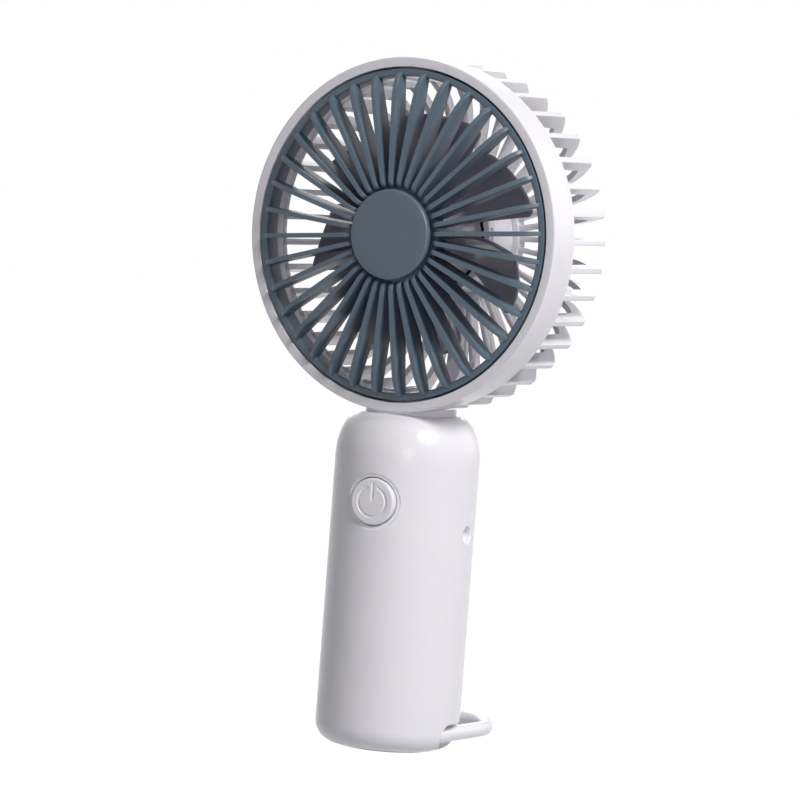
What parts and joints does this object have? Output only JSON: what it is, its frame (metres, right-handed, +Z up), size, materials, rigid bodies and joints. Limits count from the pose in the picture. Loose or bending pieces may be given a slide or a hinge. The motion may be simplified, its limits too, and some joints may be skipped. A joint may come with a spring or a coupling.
{
  "type": "handheld fan",
  "caption": "Handheld rechargeable fan: round ribbed head with a dark grille and pitched blades, on a white cylindrical handle with a push button and a swinging loop at the base.",
  "frame": {"origin": "centre of the foot pad, on the surface that the fan stands on", "axes": "+Z up along the handle, -Y the way the fan faces and blows, +X its right side seen from the front"},
  "size_m": [0.102, 0.0638, 0.2],
  "materials": {
    "white_gloss": "smooth, glossy white ABS",
    "slate": "satin slate-blue ABS",
    "dark_blade": "glossy dark mauve-grey",
    "steel": "plain machined steel",
    "can_steel": "zinc-plated pressed steel",
    "lamination": "stacked electrical steel",
    "cast_aluminium": "turned aluminium",
    "copper_wire": "enamelled copper wire",
    "magnet": "bonded ferrite",
    "board_green": "green solder mask",
    "chip_black": "moulded black epoxy",
    "switch_body": "moulded black nylon",
    "port_metal": "nickel-plated steel",
    "tab_metal": "nickel strip",
    "cell_can": "lithium-ion cell in a plastic sleeve",
    "frame_plastic": "natural white nylon",
    "pad_rubber": "satin slate foot pad",
    "wire_red": "soft red insulation",
    "wire_black": "soft black insulation"
  },
  "bodies": {
    "fan": {"barrel_shell": "white_gloss", "front_grille": "slate", "grille_hub_cap": "slate", "rear_grille": "white_gloss", "rear_cap": "white_gloss", "motor_cup": "white_gloss", "motor_base": "cast_aluminium", "motor_bearings": "steel", "stator_core": "lamination", "stator_coils": "copper_wire", "motor_board": "board_green", "motor_screws": "steel", "neck_collar": "white_gloss", "handle_shell": "white_gloss", "base_cap": "white_gloss", "base_pad": "pad_rubber", "base_screws": "steel", "loop_pins": "steel", "tact_switch": "switch_body", "circuit_board": "board_green", "board_chips": "chip_black", "board_screws": "steel", "port_socket": "port_metal", "battery_cell": "cell_can", "battery_tabs": "tab_metal", "battery_cradle": "frame_plastic", "motor_lead_red": "wire_red", "motor_lead_black": "wire_black"},
    "rotor": {"impeller": "dark_blade", "motor_shaft": "steel", "shaft_clip": "steel", "rotor_can": "can_steel", "magnet_ring": "magnet"},
    "button": {"power_button": "white_gloss", "switch_plunger": "switch_body"},
    "loop": {"hanging_loop": "white_gloss"}
  },
  "joints": [
    {"name": "impeller_spin", "type": "hinge", "parent": "fan", "child": "rotor", "pos_m": [0, 0, 0.149], "axis": [0, 1, 0], "continuous": true},
    {"name": "button_press", "type": "slide", "parent": "fan", "child": "button", "axis": [-0.0958, 0.9954, 0], "range_m": [0, 0.0005], "stiffness_N_per_m": 2400},
    {"name": "loop_swing", "type": "hinge", "parent": "fan", "child": "loop", "pos_m": [0, 0, 0.0052], "axis": [-1, 0, 0], "range_deg": [0, 90]}
  ]
}
